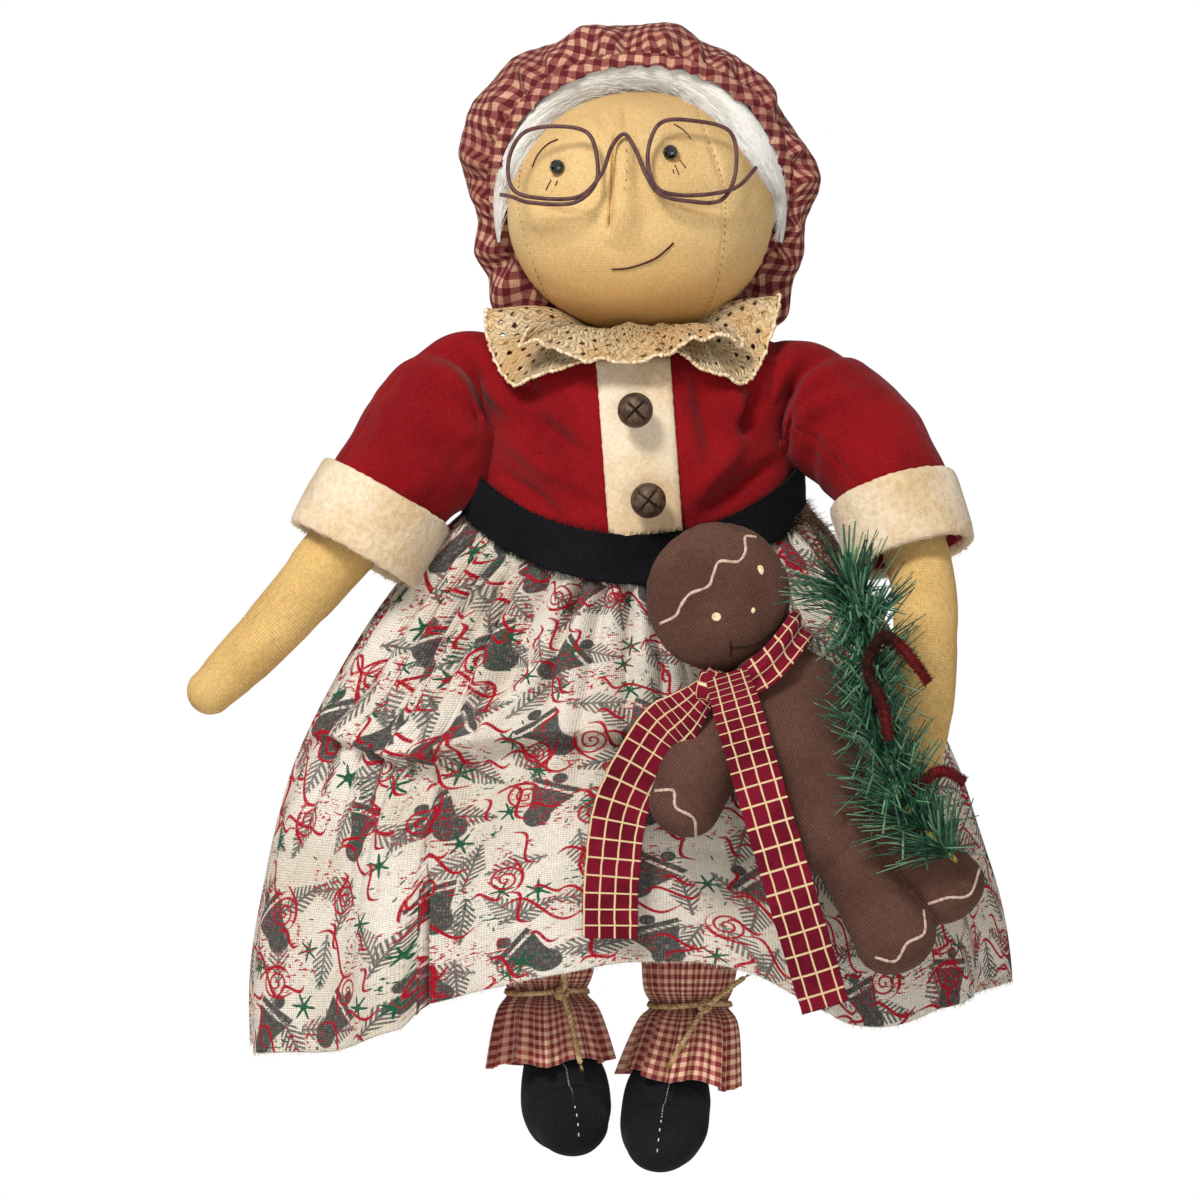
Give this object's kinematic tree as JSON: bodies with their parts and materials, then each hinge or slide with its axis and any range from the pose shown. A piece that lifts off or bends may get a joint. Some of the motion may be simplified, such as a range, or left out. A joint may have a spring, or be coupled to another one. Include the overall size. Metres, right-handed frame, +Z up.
{
  "type": "hanging christmas doll",
  "caption": "Stuffed cloth grandmother doll in a mob cap and long gathered skirt, holding a gingerbread toy and a pine garland, hung by a loop at the back of the neck.",
  "frame": {"origin": "middle of the back face of the hanging loop on the back of the jacket", "axes": "+Z up along the hanging doll, -Y the way the face looks, +X to the viewer's right"},
  "size_m": [0.3246, 0.1571, 0.4434],
  "materials": {
    "cotton": "plain woven cotton",
    "felt_red": "wool felt",
    "felt_cream": "wool felt",
    "fleece": "short pile fleece",
    "lace": "crocheted cotton lace",
    "felt_black": "wool felt",
    "linen_print": "printed linen",
    "gingham": "woven check",
    "wool": "combed wool",
    "bead": "gloss",
    "wire": "satin enamel",
    "bell_metal": "rusted",
    "twill": "woven twill",
    "scarf": "woven windowpane check",
    "pine": "cut strips",
    "chenille": "chenille pile",
    "jute": "twisted yarn"
  },
  "bodies": {
    "root": {"torso": "cotton", "bodice": "felt_red", "placket": "felt_cream", "upper_bell_shank": "bell_metal", "lower_bell_shank": "bell_metal", "lace_collar": "lace", "sash": "felt_black", "skirt": "linen_print", "hanging_loop": "felt_red"},
    "upper_bell": {"upper_bell": "bell_metal"},
    "upper_ball": {"upper_bell_ball": "bell_metal"},
    "lower_bell": {"lower_bell": "bell_metal"},
    "lower_ball": {"lower_bell_ball": "bell_metal"},
    "head": {"head": "cotton", "eye_bead_left": "bead", "eye_bead_right": "bead", "hair_band": "wool", "cap_crown": "gingham", "cap_frill": "gingham", "spectacles": "wire"},
    "right_arm": {"right_sleeve": "felt_red", "right_cuff": "fleece", "right_arm": "cotton"},
    "left_arm": {"left_sleeve": "felt_red", "left_cuff": "fleece", "left_arm": "cotton", "gingerbread_head": "twill", "gingerbread_body": "twill", "gingerbread_arm_near": "twill", "gingerbread_arm_far": "twill", "gingerbread_leg_near": "twill", "gingerbread_leg_far": "twill", "scarf_band": "scarf", "scarf_knot": "scarf", "scarf_long_tail": "scarf", "scarf_short_tail": "scarf", "garland_sprig_1": "pine", "garland_sprig_2": "pine", "garland_sprig_3": "pine", "garland_sprig_4": "pine", "chenille_loop": "chenille", "chenille_end": "chenille"},
    "right_leg": {"right_leg": "cotton", "right_bloomer": "gingham", "right_boot": "felt_black", "right_jute_tie": "jute"},
    "left_leg": {"left_leg": "cotton", "left_bloomer": "gingham", "left_boot": "felt_black", "left_jute_tie": "jute"}
  },
  "joints": [
    {"name": "neck_turn", "type": "hinge", "parent": "root", "child": "head", "pos_m": [0.002, -0.04, 0.02], "axis": [0, 0, 1], "range_deg": [-20, 20], "stiffness_Nm_per_rad": 0.05},
    {"name": "right_shoulder_swing", "type": "hinge", "parent": "root", "child": "right_arm", "pos_m": [-0.0573, -0.0478, 0.003], "axis": [-1, 0, 0], "range_deg": [-15, 75]},
    {"name": "left_shoulder_swing", "type": "hinge", "parent": "root", "child": "left_arm", "pos_m": [0.0573, -0.04, 0.003], "axis": [-1, 0, 0], "range_deg": [0, 60]},
    {"name": "right_hip_swing", "type": "hinge", "parent": "root", "child": "right_leg", "pos_m": [-0.024, -0.0417, -0.1483], "axis": [-1, 0, 0], "range_deg": [-10, 10]},
    {"name": "left_hip_swing", "type": "hinge", "parent": "root", "child": "left_leg", "pos_m": [0.023, -0.0417, -0.1483], "axis": [-1, 0, 0], "range_deg": [-10, 10]},
    {"name": "upper_bell_turn", "type": "hinge", "parent": "root", "child": "upper_bell", "pos_m": [0, -0.085, -0.012], "axis": [0, -1, 0], "range_deg": [-45, 45]},
    {"name": "lower_bell_turn", "type": "hinge", "parent": "root", "child": "lower_bell", "pos_m": [0.005, -0.085, -0.0466], "axis": [0, -1, 0], "range_deg": [-45, 45]},
    {"name": "upper_ball_rattle", "type": "slide", "parent": "upper_bell", "child": "upper_ball", "axis": [0, 0, 1], "range_m": [0, 0.005]},
    {"name": "lower_ball_rattle", "type": "slide", "parent": "lower_bell", "child": "lower_ball", "axis": [0, 0, 1], "range_m": [0, 0.005]}
  ]
}
